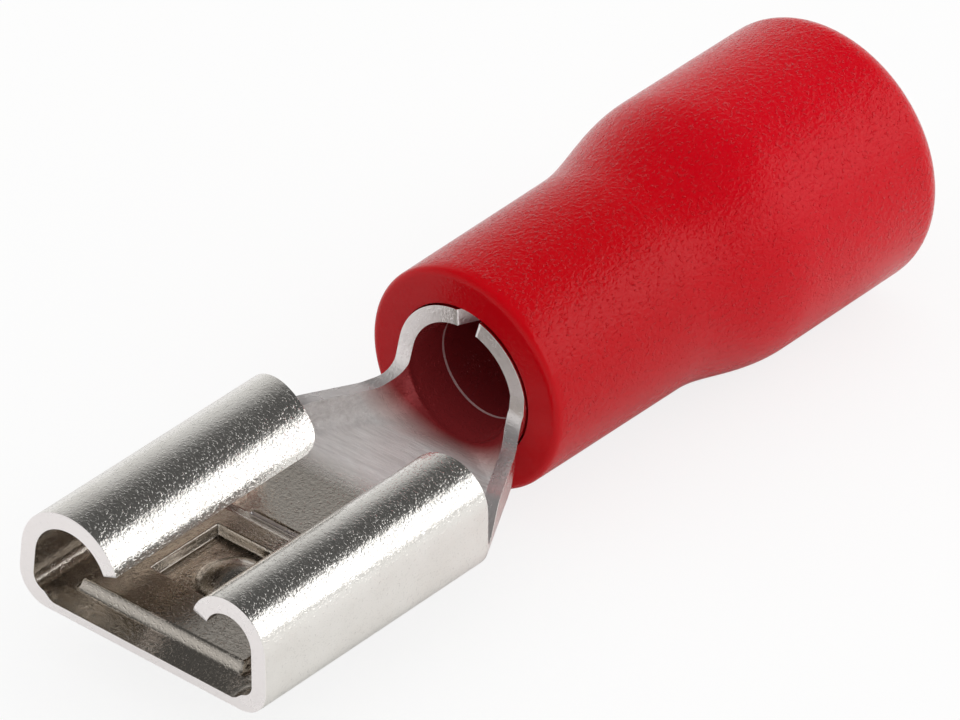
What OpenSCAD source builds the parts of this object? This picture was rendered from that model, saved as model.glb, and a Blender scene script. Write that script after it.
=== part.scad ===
// Female push-on terminal with a moulded insulating sleeve.
// X runs across the terminal, Y from the receptacle's mouth towards the wire, Z up.
// The origin lies in the receptacle's mouth, in the middle of the blade that slides in.

/* [Blade] */
// Thickness of the blade that the receptacle takes
blade = 0.8; // [0.5:0.05:0.9]

/* [Sheet] */
// Thickness of the sheet that the terminal is stamped from
sheet = 0.38; // [0.3:0.01:0.45]

/* [Receptacle] */
// Width of the receptacle over its two sides
receptacle_width = 6.6; // [6:0.1:7.4]
// Length of the receptacle from its mouth to the rear of the curls
receptacle_length = 6.6; // [5.8:0.1:8]
// Height of the curls over the underside of the base
curl_top = 2.5; // [2.3:0.05:2.9]
// Outer radius of the two lower corners
corner_r = 0.7; // [0.55:0.05:0.85]

/* [Curls] */
// Outer radius of the left-hand curl, which is rolled wide
left_curl_r = 1.34; // [1.1:0.01:1.45]
// How far the left-hand curl's side leans in over the base
left_lean = 0.06; // [0:0.01:0.12]
// Free height between the blade and the left-hand curl's tip
left_tip_clearance = 0.1; // [0:0.01:0.25]
// Outer radius of the right-hand curl, which is rolled tighter
right_curl_r = 0.98; // [0.85:0.01:1.2]
// How far the right-hand curl's side leans in over the base
right_lean = 0; // [0:0.01:0.12]
// Free height between the blade and the right-hand curl's tip
right_tip_clearance = 0.32; // [0:0.01:0.4]
// Angle by which the left-hand curl's rear edge is swept forward
left_sweep = 13; // [0:1:20]
// Angle by which the right-hand curl's rear edge is swept forward
right_sweep = 4; // [0:1:20]
// Radius of the curls' rear corners
curl_corner_r = 0.4; // [0.1:0.05:0.6]

/* [Floor of the receptacle] */
// Thickness left at the front lip of the base
lip = 0.2; // [0.1:0.01:0.25]
// Length of the ramp that leads the blade in
ramp_length = 0.45; // [0.3:0.05:0.6]
// Width of the raised seat that the blade slides on
seat_width = 4.4; // [3.6:0.1:4.8]
// Distance of the seat's front foot from the mouth
seat_front = 0.45; // [0.4:0.05:0.7]
// Distance of the seat's rear foot from the mouth
seat_rear = 4.66; // [4.4:0.05:5]
// Height of the seat over the floor
seat_rise = 0.22; // [0.12:0.01:0.28]
// Length of the slope at the front of the seat
seat_front_slope = 0.2; // [0.1:0.05:0.3]
// Length of the slope at the rear of the seat
seat_rear_slope = 0.42; // [0.2:0.02:0.5]
// Depth of the hollow that the seat leaves in the underside
seat_hollow = 0.12; // [0.04:0.01:0.18]
// Width of the pocket that is coined into the seat
pocket_width = 2.74; // [2.2:0.1:2.9]
// Distance of the pocket's front edge from the mouth
pocket_front = 1.77; // [1.6:0.05:2]
// Distance of the pocket's rear edge from the mouth
pocket_rear = 3.73; // [3.5:0.05:3.8]
// Depth of the pocket under the top of the seat
pocket_depth = 0.24; // [0.1:0.01:0.28]
// Radius of the round dimple that clicks into the blade's hole
dimple_r = 0.78; // [0.5:0.02:0.85]
// Height of the dimple over the floor of the pocket
dimple_rise = 0.38; // [0.25:0.01:0.42]
// Width of the slit behind the seat
slit = 0.1; // [0.06:0.01:0.14]

/* [Neck] */
// Length of the neck between the curls and the barrel
neck_length = 2.95; // [2.4:0.05:4]
// Height of the neck's side walls over the underside of the base
neck_wall = 1.1; // [0.9:0.05:1.2]
// Share of the neck over which its lower corners keep the radius that they have in the receptacle
folded_share = 0.68; // [0.4:0.02:0.8]
// Radius of the step from the neck's walls up to the barrel's rim
rim_fillet = 0.85; // [0.4:0.05:0.9]

/* [Crimp barrel] */
// How far the barrel's bell mouth reaches below the underside of the base
barrel_drop = 0.05; // [0:0.01:0.15]
// Length of the barrel
barrel_length = 5.2; // [4.4:0.1:7]
// Radius of the wire space inside the barrel
barrel_bore_r = 1.19; // [1:0.01:1.4]
// How much wider the barrel's bell mouth is
bell_flare = 0.14; // [0.06:0.01:0.25]
// Length of the bell mouth
bell_length = 0.8; // [0.6:0.05:1.4]
// Gap of the barrel's seam at the rim
seam_gap = 0.55; // [0.2:0.05:0.8]
// Gap of the barrel's seam behind the bell mouth
seam_closed = 0.1; // [0.05:0.01:0.2]
// Angle of the seam from the top
seam_angle = 6; // [-15:1:15]
// Number of gripping grooves round the wire space
groove_count = 3; // [1:1:4]
// Width of one gripping groove
groove_width = 0.24; // [0.1:0.02:0.4]
// Depth of one gripping groove
groove_depth = 0.07; // [0.03:0.01:0.12]

/* [Sleeve] */
// Length of the sleeve
sleeve_length = 11.87; // [9.5:0.1:15]
// How far the barrel's rim stands out of the sleeve's front face
rim_proud = 0.07; // [0:0.01:0.3]
// Outer radius of the sleeve at its front face
sleeve_front_r = 2.5; // [2.35:0.01:2.8]
// Outer radius of the sleeve where its flare starts
sleeve_waist_r = 2.54; // [2.4:0.01:2.8]
// Outer radius of the sleeve at the wire end
sleeve_rear_r = 3.04; // [2.8:0.02:3.5]
// Distance from the sleeve's front face to where the flare starts
flare_start = 4.53; // [3.5:0.1:5.5]
// Length of the flare
flare_length = 2.97; // [1.5:0.1:4]
// Rounding of the front face's edge
front_round = 0.15; // [0.05:0.01:0.3]
// Rounding of the wire end's edge
rear_round = 0.66; // [0.2:0.02:0.74]
// Thickness of the sleeve's wall at the wire entry
entry_wall = 0.98; // [0.95:0.01:1.2]
// Length of the round-over at the mouth of the wire entry
entry_round = 0.2; // [0.05:0.05:0.25]
// Length of the funnel that leads the wire into the barrel
funnel_length = 1.15; // [0.6:0.05:1.6]
// Length of the lip that covers the barrel's rear edge
lip_length = 0.5; // [0.3:0.05:0.8]
// Clearance between the barrel and the sleeve
grip_clearance = 0.02; // [0.01:0.01:0.05]

/* [Hidden] */

// Colours
tin = [0.80, 0.79, 0.77];
red_pvc = [0.78, 0.04, 0.10];

// Margin by which a cutter runs past the surface that it cuts
over = 1;
// How far the neck's sheet reaches into the parts that it joins, and how much thinner it is
bite = 0.1;
neck_inset = 0.05;
// Length over which the neck's side walls rise from the lower corners
wall_start = 1.1;

// Receptacle
half_width = receptacle_width / 2;
floor_half = half_width - corner_r;
seat_top = sheet + seat_rise;
blade_z = seat_top + blade / 2;

// Barrel
bell_r = barrel_bore_r + bell_flare + sheet;
barrel_r = barrel_bore_r + sheet;
axis_z = bell_r - barrel_drop;
barrel_front = receptacle_length + neck_length;
barrel_rear = barrel_front + barrel_length;

// Sleeve
sleeve_front = barrel_front + rim_proud;
sleeve_rear = sleeve_front + sleeve_length;
seat_end = barrel_rear + grip_clearance;
funnel_start = seat_end + lip_length;
funnel_end = funnel_start + funnel_length;
lip_r = barrel_bore_r + grip_clearance;
entry_r = sleeve_rear_r - entry_wall;
flare_end = flare_start + flare_length;

// Smoothness
$fn = 96;
corner_steps = 10;
curl_steps = 24;
flare_steps = 16;
round_steps = 8;
neck_steps = 8;
fillet_steps = 9;
section_steps = 44;

function mix(a, b, u) = a + (b - a) * u;
function clamped(u) = max(0, min(1, u));
// Eased from 0 to 1, level at both ends
function eased(u) = (1 - cos(180 * clamped(u))) / 2;
// A point on a circle
function on_circle(centre, r, angle) = centre + r * [cos(angle), sin(angle)];

// ---- Receptacle ----

// The centre of a curl, from its radius and the lean of its side
function curl_centre(r, lean) = [half_width - lean - r, curl_top - r];
// Angle at which a curl ends, where its tip comes down to the blade
function tip_angle(r, clearance) =
    180 - asin((seat_top + blade + clearance - curl_top + r) / (r - sheet));
// Direction of the wall that is tangent to a lower corner and to the curl above it
function wall_angle(r, lean) =
    let (
        gap = curl_centre(r, lean) - [floor_half, corner_r]
    )
    atan2(gap[1], gap[0]) - acos((corner_r - r) / norm(gap));

// Outline of one side from the floor round the corner, up the wall and over the curl,
// at a depth under the outer face of the sheet
function side_path(r, lean, clearance, depth) =
    let (
        corner = [floor_half, corner_r],
        centre = curl_centre(r, lean),
        turn = wall_angle(r, lean),
        tip = tip_angle(r, clearance)
    )
    concat(
        [for (i = [0:corner_steps]) on_circle(corner, corner_r - depth, mix(-90, turn, i / corner_steps))],
        [for (i = [0:curl_steps]) on_circle(centre, r - depth, mix(turn, tip, i / curl_steps))]
    );
function reversed(points) = [for (i = [len(points) - 1:-1:0]) points[i]];
function mirrored(points) = [for (p = points) [-p[0], p[1]]];

// Section of the folded sheet, from the left-hand tip to the right-hand tip and back inside
module folded_section() {
    polygon(concat(
        mirrored(reversed(side_path(left_curl_r, left_lean, left_tip_clearance, 0))),
        side_path(right_curl_r, right_lean, right_tip_clearance, 0),
        reversed(side_path(right_curl_r, right_lean, right_tip_clearance, sheet)),
        mirrored(side_path(left_curl_r, left_lean, left_tip_clearance, sheet))
    ));
}

// Plan of a curl's rear edge, swept forward and rounded at its free corner
module rear_trim(r, lean, clearance, sweep) {
    tip_x = on_circle(curl_centre(r, lean), r, tip_angle(r, clearance))[0];
    side_y = receptacle_length;
    tip_y = side_y - (half_width - tip_x) * tan(sweep);
    inner_x = tip_x + curl_corner_r;
    inner_y = side_y - (half_width - inner_x) * tan(sweep) - curl_corner_r;
    difference() {
        polygon([
            [tip_x - over, inner_y],
            [inner_x, inner_y],
            [inner_x, inner_y + curl_corner_r],
            [half_width + over, side_y + over * tan(sweep)],
            [half_width + over, side_y + 2 * over],
            [tip_x - over, side_y + 2 * over]
        ]);
        translate([inner_x, inner_y])
            circle(curl_corner_r);
    }
}

// A solid with a constant profile in Y and Z, and its middle at X = 0
module across(width) {
    rotate([90, 0, 90])
        translate([0, 0, -width / 2])
            linear_extrude(width)
                children();
}

// The folded sheet with both curls trimmed at the rear
module folded_sheet() {
    trim_z = corner_r + sheet;
    difference() {
        translate([0, receptacle_length, 0])
            rotate([90, 0, 0])
                linear_extrude(receptacle_length)
                    folded_section();
        translate([0, 0, trim_z])
            linear_extrude(curl_top) {
                mirror([1, 0])
                    rear_trim(left_curl_r, left_lean, left_tip_clearance, left_sweep);
                rear_trim(right_curl_r, right_lean, right_tip_clearance, right_sweep);
            }
    }
}

// The round dimple that clicks into the blade's hole
module dimple(pocket_floor) {
    middle = (pocket_front + pocket_rear) / 2;
    ball_r = (dimple_r * dimple_r + dimple_rise * dimple_rise) / (2 * dimple_rise);
    intersection() {
        translate([0, middle, pocket_floor + dimple_rise - ball_r])
            sphere(ball_r);
        translate([-dimple_r, middle - dimple_r, (pocket_floor + seat_hollow) / 2])
            cube([2 * dimple_r, 2 * dimple_r, over]);
    }
}

// The receptacle with its lead-in ramp, raised seat, pocket, dimple and slit
module receptacle() {
    top_front = seat_front + seat_front_slope;
    top_rear = seat_rear - seat_rear_slope;
    hollow_width = seat_width - 2 * seat_front_slope;
    pocket_floor = seat_top - pocket_depth;
    difference() {
        union() {
            difference() {
                folded_sheet();
                across(2 * floor_half)
                    polygon([[-over, lip], [0, lip], [ramp_length, sheet], [-over, seat_top]]);
            }
            across(seat_width)
                polygon([
                    [seat_front, lip],
                    [seat_front, sheet],
                    [top_front, seat_top],
                    [top_rear, seat_top],
                    [seat_rear, sheet],
                    [seat_rear, lip]
                ]);
        }
        translate([-pocket_width / 2, pocket_front, pocket_floor])
            cube([pocket_width, pocket_rear - pocket_front, pocket_depth + blade]);
        translate([-hollow_width / 2, top_front, -over])
            cube([hollow_width, top_rear - top_front, over + seat_hollow]);
        translate([-pocket_width / 2, seat_rear, -over])
            cube([pocket_width, slit, over + seat_top]);
    }
    dimple(pocket_floor);
}

// ---- Neck ----

// Height of the neck's side walls at a place along the terminal
function wall_top(y) =
    let (
        start = mix(corner_r, neck_wall, eased((y - receptacle_length) / wall_start)),
        rise = clamped((y - barrel_front + rim_fillet) / rim_fillet)
    )
    start + rim_fillet * (1 - sqrt(1 - rise * rise));

// How far the neck has narrowed from the receptacle's width to the barrel's
function narrowing(y) = clamped((y - receptacle_length) / (neck_length - bite));
// How far the lower corners have opened out to the barrel's radius
function opening(y) = eased((narrowing(y) - folded_share) / (1 - folded_share));

// Middle of the sheet at a developed distance from the centre line: x, z and slope
function sheet_middle(distance, flat, r) =
    let (
        side = distance < 0 ? -1 : 1,
        turn = (abs(distance) - flat) / r * 180 / PI
    )
    turn <= 0 ? [distance, 0, 0]
    : turn <= 90 ? [side * (flat + r * sin(turn)), r * (1 - cos(turn)), side * turn]
    : [side * (flat + r), r + (turn - 90) * r * PI / 180, side * 90];

// Developed distance from the centre line to the top of a wall
function reach_to(height, flat, r) =
    height < r
        ? flat + r * acos(1 - height / r) * PI / 180
        : flat + r * PI / 2 + height - r;

// The closed section of the neck's sheet at one place along the terminal
function neck_section(y) =
    let (
        outer_r = mix(corner_r, bell_r, opening(y)),
        flat = mix(half_width, bell_r, narrowing(y)) - outer_r,
        r = outer_r - sheet / 2,
        bottom = sheet / 2 - barrel_drop * opening(y),
        reach = reach_to(wall_top(y) - bottom, flat, r),
        half = sheet / 2 - neck_inset
    )
    [for (side = [-1, 1]) for (i = [0:section_steps])
        let (
            distance = -side * mix(-reach, reach, i / section_steps),
            m = sheet_middle(distance, flat, r)
        )
        [m[0] - side * half * sin(m[2]), y, bottom + m[1] + side * half * cos(m[2])]
    ];

// The scoop that leads from the flat floor to the round barrel
module neck() {
    ys = concat(
        [receptacle_length - bite],
        [for (i = [0:neck_steps]) mix(receptacle_length, barrel_front - rim_fillet, i / neck_steps)],
        [for (i = [1:fillet_steps]) barrel_front - rim_fillet * (1 - sin(90 * i / fillet_steps))],
        [barrel_front + bite]
    );
    row = section_steps + 1;
    ring = 2 * row;
    last = (len(ys) - 1) * ring;
    polyhedron(
        points = [for (y = ys) each neck_section(y)],
        faces = concat(
            [for (k = [0:len(ys) - 2]) for (i = [0:ring - 1])
                let (a = k * ring + i, b = k * ring + (i + 1) % ring)
                each [[a, b, b + ring], [a, b + ring, a + ring]]
            ],
            [for (i = [0:section_steps - 1])
                let (a = i, b = ring - 1 - i)
                each [[a, b, b - 1], [a, b - 1, a + 1]]
            ],
            [for (i = [0:section_steps - 1])
                let (a = last + i, b = last + ring - 1 - i)
                each [[a, b - 1, b], [a, a + 1, b - 1]]
            ]
        )
    );
}

// ---- Crimp barrel ----

// Lays a turned profile along the barrel's axis: its Y becomes the terminal's Y
module turned() {
    translate([0, 0, axis_z])
        rotate([-90, 0, 0])
            rotate_extrude()
                children();
}

// The rolled barrel with its bell mouth, gripping grooves and seam
module barrel() {
    bell_end = barrel_front + bell_length;
    pitch = (barrel_rear - bell_end) / (groove_count + 0.5);
    difference() {
        turned()
            polygon([
                [bell_r - sheet, barrel_front],
                [bell_r, barrel_front],
                [barrel_r, bell_end],
                [barrel_r, barrel_rear],
                [barrel_bore_r, barrel_rear],
                [barrel_bore_r, bell_end]
            ]);
        for (i = [0:groove_count - 1])
            turned()
                translate([0, bell_end + i * pitch])
                    square([barrel_bore_r + groove_depth, groove_width]);
        translate([0, 0, axis_z])
            rotate([0, seam_angle, 0])
                linear_extrude(2 * bell_r)
                    polygon([
                        [-seam_gap / 2, barrel_front - over],
                        [seam_gap / 2, barrel_front - over],
                        [seam_gap / 2, barrel_front],
                        [seam_closed / 2, bell_end],
                        [seam_closed / 2, barrel_rear + over],
                        [-seam_closed / 2, barrel_rear + over],
                        [-seam_closed / 2, bell_end],
                        [-seam_gap / 2, barrel_front]
                    ]);
    }
}

// ---- Pieces ----

// Sets a piece down so that the blade's middle is at Z = 0
module placed() {
    translate([0, 0, -blade_z])
        children();
}

module terminal() color(tin) placed() {
    receptacle();
    neck();
    barrel();
}

// Outer outline of the sleeve, from the front face to the wire end
function sleeve_outline() =
    let (
        front_centre = [sleeve_front_r - front_round, sleeve_front + front_round],
        rear_centre = [sleeve_rear_r - rear_round, sleeve_rear - rear_round]
    )
    concat(
        [for (i = [0:round_steps]) on_circle(front_centre, front_round, mix(-90, 0, i / round_steps))],
        [for (i = [0:flare_steps])
            let (u = i / flare_steps)
            [mix(sleeve_waist_r, sleeve_rear_r, eased(u)), sleeve_front + mix(flare_start, flare_end, u)]
        ],
        [for (i = [0:round_steps]) on_circle(rear_centre, rear_round, mix(0, 90, i / round_steps))]
    );

// The inside of the sleeve, from the wire end back to the front face
function sleeve_hollow() =
    let (
        bell_end = barrel_front + bell_length,
        mouth_r = bell_r - bell_flare * rim_proud / bell_length,
        mouth_centre = [entry_r + entry_round, sleeve_rear - entry_round]
    )
    concat(
        [for (i = [0:round_steps]) on_circle(mouth_centre, entry_round, mix(90, 180, i / round_steps))],
        [
            [entry_r, funnel_end],
            [lip_r, funnel_start],
            [lip_r, seat_end],
            [barrel_r + grip_clearance, seat_end],
            [barrel_r + grip_clearance, bell_end],
            [mouth_r + grip_clearance, sleeve_front]
        ]
    );

module sleeve() color(red_pvc) placed() {
    turned()
        polygon(concat(sleeve_outline(), sleeve_hollow()));
}

terminal();
sleeve();
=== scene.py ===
# %% [markdown]
# # A female push-on terminal in a red insulating sleeve
# A small wire terminal is a stamped, rolled and tin-plated sheet of brass, pushed into a soft PVC sleeve.
# This lesson dresses its construction model: a camera, two pieces, two finishes, a floor and the lights.
# The model is loaded first: the floor's height is taken from its box, and its two pieces give way to the
# dressed ones.

# %% Load the construction model
import bpy
import math
import numpy as np
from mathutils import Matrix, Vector


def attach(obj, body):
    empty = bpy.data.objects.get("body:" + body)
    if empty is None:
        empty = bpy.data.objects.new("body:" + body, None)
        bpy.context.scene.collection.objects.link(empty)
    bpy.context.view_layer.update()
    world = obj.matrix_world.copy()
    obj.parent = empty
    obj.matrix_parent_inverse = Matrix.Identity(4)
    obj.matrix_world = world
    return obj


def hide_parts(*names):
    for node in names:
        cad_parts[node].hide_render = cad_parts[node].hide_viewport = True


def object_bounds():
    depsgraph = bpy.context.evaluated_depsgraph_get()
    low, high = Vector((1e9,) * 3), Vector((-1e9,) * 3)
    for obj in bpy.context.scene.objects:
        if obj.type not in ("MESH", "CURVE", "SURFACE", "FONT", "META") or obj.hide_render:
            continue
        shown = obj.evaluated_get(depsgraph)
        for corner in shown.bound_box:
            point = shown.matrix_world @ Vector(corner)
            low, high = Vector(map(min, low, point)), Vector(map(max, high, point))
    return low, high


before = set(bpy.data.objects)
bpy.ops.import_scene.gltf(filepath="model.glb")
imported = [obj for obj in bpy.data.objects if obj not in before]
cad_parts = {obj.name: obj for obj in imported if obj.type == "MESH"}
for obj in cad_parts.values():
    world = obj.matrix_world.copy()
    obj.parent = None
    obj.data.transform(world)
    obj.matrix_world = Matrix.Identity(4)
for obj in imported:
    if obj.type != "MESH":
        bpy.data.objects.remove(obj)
CAD_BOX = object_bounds()
MM = 0.001
print("Pieces:", [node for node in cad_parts])
print("Box of the model, in mm:", [[round(v / MM, 2) for v in corner] for corner in CAD_BOX])

# %% [markdown]
# ## The camera
# A long lens from a little over the mouth keeps the sheet's parallel edges nearly parallel.
# The camera's place could be typed as a point, but two angles, a distance and a target say more.
# The angles are measured as a turntable's: the turn from the front, and the height over the floor.

# %% Set up the camera
VIEW_TURN = math.radians(41.11)
VIEW_HEIGHT = math.radians(34.36)
VIEW_DISTANCE = 190.68 * MM
VIEW_TARGET = Vector((0.11, 10.0, 1.013)) * MM
LENS = 353.2
SENSOR_WIDTH = 36

towards_camera = Vector((
    math.sin(VIEW_TURN) * math.cos(VIEW_HEIGHT),
    -math.cos(VIEW_TURN) * math.cos(VIEW_HEIGHT),
    math.sin(VIEW_HEIGHT),
))
camera = bpy.data.objects.new("camera", bpy.data.cameras.new("camera"))
bpy.context.scene.collection.objects.link(camera)
camera.location = VIEW_TARGET + towards_camera * VIEW_DISTANCE
camera.rotation_euler = towards_camera.to_track_quat("Z", "Y").to_euler()
camera.data.sensor_width = SENSOR_WIDTH
camera.data.lens = LENS
camera.data.clip_start = 0.01
camera.data.clip_end = 10
bpy.context.scene.camera = camera
print("The camera stands at", [round(v / MM, 1) for v in camera.location], "mm")

# %% [markdown]
# ## The sizes of the sheet
# The terminal is one blank of 0.38 mm sheet that is folded, coined and rolled in a press.
# Its surface can be followed with two numbers: how far a point is across the sheet from the centre
# line, and how far it is from the mouth. The sizes below describe the folds in millimetres, with
# heights counted from the underside of the base.

# %% Name the sizes of the terminal
SHEET = 0.38
HALF_WIDTH = 3.3
CORNER_R = 0.7
CURL_TOP = 2.5
RECEPTACLE_END = 6.6
SEAT_TOP = 0.6
BLADE = 0.8
BASE_Z = -(SEAT_TOP + BLADE / 2)
FLOOR_HALF = HALF_WIDTH - CORNER_R
BARREL_FRONT = 9.55
BARREL_REAR = 14.75
BELL_END = 10.35
BORE_R = 1.19
BELL_FLARE = 0.14
BARREL_DROP = 0.05
BELL_R = BORE_R + BELL_FLARE + SHEET
AXIS_Z = BELL_R - BARREL_DROP
SEAM_TURN = 6
SEAM_GAP = 0.55
SEAM_CLOSED = 0.1

# Radius, lean, free height over the blade, and sweep of the rear edge of the two curls
CURLS = {
    -1: {"r": 1.34, "lean": 0.06, "clearance": 0.10, "sweep": 13},
    1: {"r": 0.98, "lean": 0.0, "clearance": 0.32, "sweep": 4},
}
TIP_CORNER_R = 0.4


def mix(a, b, u):
    """The value a share u of the way from a to b."""
    return a + (b - a) * u


def clamped(u):
    """Kept between 0 and 1."""
    return min(1.0, max(0.0, u))


def eased(u):
    """From 0 to 1 with a soft start and a soft end."""
    return (1 - math.cos(math.pi * clamped(u))) / 2


print("The barrel's middle is", round(AXIS_Z, 2), "mm over the underside of the base")

# %% [markdown]
# ## The path across the sheet
# Across the receptacle, the sheet runs flat, round a corner, up a side and over into a curl.
# A loft of boxes would need four pieces here, and their joints would show in the reflections.
# One path function gives the place and the direction of the sheet at any distance instead,
# so the mesh follows the bends as the metal does.

# %% Follow the folded section
def curl_path(side):
    """Lengths and angles of one side: the corner, the straight wall, and the curl."""
    curl = CURLS[side]
    centre = np.array([HALF_WIDTH - curl["lean"] - curl["r"], CURL_TOP - curl["r"]])
    corner = np.array([FLOOR_HALF, CORNER_R])
    gap = centre - corner
    turn = math.atan2(gap[1], gap[0]) - math.acos((CORNER_R - curl["r"]) / np.hypot(*gap))
    lift = SEAT_TOP + BLADE + curl["clearance"] - CURL_TOP + curl["r"]
    tip = math.pi - math.asin(lift / (curl["r"] - SHEET))
    corner_length = (CORNER_R - SHEET / 2) * (turn + math.pi / 2)
    wall_length = math.sqrt(np.dot(gap, gap) - (CORNER_R - curl["r"]) ** 2)
    curl_length = (curl["r"] - SHEET / 2) * (tip - turn)
    return centre, corner, turn, tip, corner_length, wall_length, curl_length


PATHS = {side: curl_path(side) for side in CURLS}
CUT_DISTANCE = FLOOR_HALF + (CORNER_R - SHEET / 2) * math.pi / 2


def receptacle_path(side, distance):
    """Middle of the sheet at a distance from the centre line: x, z, and the slope of the sheet."""
    centre, corner, turn, tip, corner_length, wall_length, curl_length = PATHS[side]
    if distance <= FLOOR_HALF:
        return distance, SHEET / 2, 0.0
    distance -= FLOOR_HALF
    r = CORNER_R - SHEET / 2
    if distance <= corner_length:
        angle = -math.pi / 2 + distance / r
        return corner[0] + r * math.cos(angle), corner[1] + r * math.sin(angle), angle + math.pi / 2
    distance -= corner_length
    if distance <= wall_length:
        start = corner + r * np.array([math.cos(turn), math.sin(turn)])
        along = np.array([-math.sin(turn), math.cos(turn)])
        x, z = start + along * distance
        return x, z, turn + math.pi / 2
    distance -= wall_length
    r = CURLS[side]["r"] - SHEET / 2
    angle = turn + distance / r
    return centre[0] + r * math.cos(angle), centre[1] + r * math.sin(angle), angle + math.pi / 2


def side_length(side):
    """Length of one side of the flat blank, from the centre line to the curl's tip."""
    return FLOOR_HALF + sum(PATHS[side][4:7])


for side, name in ((-1, "left"), (1, "right")):
    print("Developed length of the", name, "side:", round(side_length(side), 2), "mm")

# %% [markdown]
# ## The neck and the barrel
# Behind the curls, the two side walls draw in, and then the floor rounds up into the crimp barrel.
# Every section is a flat, two arcs and two short walls. Two rules shape them: the width narrows
# evenly, while the corners stay tight for two thirds of the neck and only then open out.

# %% Follow the neck and the barrel
NECK_WALL = 1.1
WALL_START = 1.1
RIM_FILLET = 0.85
NARROW_END = BARREL_FRONT - 0.1
FOLDED_SHARE = 0.68


def narrowing(y):
    """From 0 at the receptacle's width to 1 at the barrel's."""
    return clamped((y - RECEPTACLE_END) / (NARROW_END - RECEPTACLE_END))


def opening(y):
    """From 0 where the corners are tight to 1 where they are as round as the barrel."""
    return eased((narrowing(y) - FOLDED_SHARE) / (1 - FOLDED_SHARE))


def wall_top(y):
    """Height of the neck's walls, which sweep up into the barrel's rim."""
    start = mix(CORNER_R, NECK_WALL, eased((y - RECEPTACLE_END) / WALL_START))
    rise = clamped((y - BARREL_FRONT + RIM_FILLET) / RIM_FILLET)
    return start + RIM_FILLET * (1 - math.sqrt(1 - rise * rise))


def neck_shape(y):
    """Half the flat, the radius of the arcs and the lowest height of the sheet's middle."""
    u = opening(y)
    outer_r = mix(CORNER_R, BELL_R, u)
    flat = mix(HALF_WIDTH, BELL_R, narrowing(y)) - outer_r
    return flat, outer_r - SHEET / 2, SHEET / 2 - BARREL_DROP * u, u


def neck_reach(y):
    """Distance across the sheet from the centre line to the top of the neck's wall."""
    flat, r, bottom, u = neck_shape(y)
    height = wall_top(y) - bottom
    if height < r:
        return flat + r * math.acos(1 - height / r)
    return flat + r * math.pi / 2 + height - r


def neck_path(y, distance):
    """Middle of the neck's sheet: x, z, and the slope of the sheet."""
    flat, r, bottom, u = neck_shape(y)
    turn = (distance - flat) / r
    if turn <= 0:
        return distance, bottom, 0.0
    if turn <= math.pi / 2:
        return flat + r * math.sin(turn), bottom + r * (1 - math.cos(turn)), turn
    straight = (flat + r, bottom + r + (turn - math.pi / 2) * r, math.pi / 2)
    rolled = (flat + r * math.sin(turn), bottom + r * (1 - math.cos(turn)), turn)
    blend = eased((u - 0.75) / 0.25)
    return tuple(mix(a, b, blend) for a, b in zip(straight, rolled))


RIM_ANGLE = neck_reach(BARREL_FRONT) / (BELL_R - SHEET / 2)
CREASE = 0.035


def barrel_mid_r(y):
    """Radius of the sheet's middle, with the crease at the bell's end a little rounded."""
    slope = BELL_FLARE / (BELL_END - BARREL_FRONT)
    to_go = BELL_END - y
    soft = (to_go + math.sqrt(to_go * to_go + CREASE * CREASE)) / 2
    return BORE_R + SHEET / 2 + slope * soft


def seam_end(side, y):
    """Angle from the bottom of the barrel at which one wing of the sheet ends."""
    u = clamped((y - BARREL_FRONT) / (BELL_END - BARREL_FRONT))
    half_gap = math.asin(mix(SEAM_GAP, SEAM_CLOSED, u) / 2 / barrel_mid_r(y))
    return math.pi - side * math.radians(SEAM_TURN) - half_gap


def barrel_path(y, angle):
    """Middle of the barrel's sheet at an angle from the bottom: x, z, and the slope of the sheet."""
    r = barrel_mid_r(y)
    return r * math.sin(angle), AXIS_Z - r * math.cos(angle), angle


print("The neck's walls meet the rim at", round(math.degrees(RIM_ANGLE), 1), "degrees from the bottom")

# %% [markdown]
# ## The coined floor
# The press also works the floor's thickness. It thins the front lip so that the blade finds its
# way in, raises a seat, sinks a pocket, pushes up a round dimple that clicks into the blade's hole,
# and leaves a narrow slit behind the seat. Booleans would break up the mesh around each of them.
# Two height functions, one for the top and one for the underside, keep the grid whole.

# %% Describe the floor's heights
LIP = 0.2
RAMP = 0.45
SEAT_HALF = 2.2
SEAT_SLOPES = (0.45, 0.65, 4.24, 4.66)
HOLLOW = 0.12
POCKET_HALF = 1.37
POCKET = (1.77, 3.73)
POCKET_FLOOR = 0.36
DIMPLE_R = 0.78
DIMPLE_RISE = 0.38
DIMPLE_FOOT = 0.05
DIMPLE_Y = sum(POCKET) / 2
SLIT = (4.66, 4.76)
TINY = 1e-6


def step(value, place, width):
    """Rises softly from 0 to 1 around a place."""
    return eased((value - place) / width + 0.5)


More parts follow.
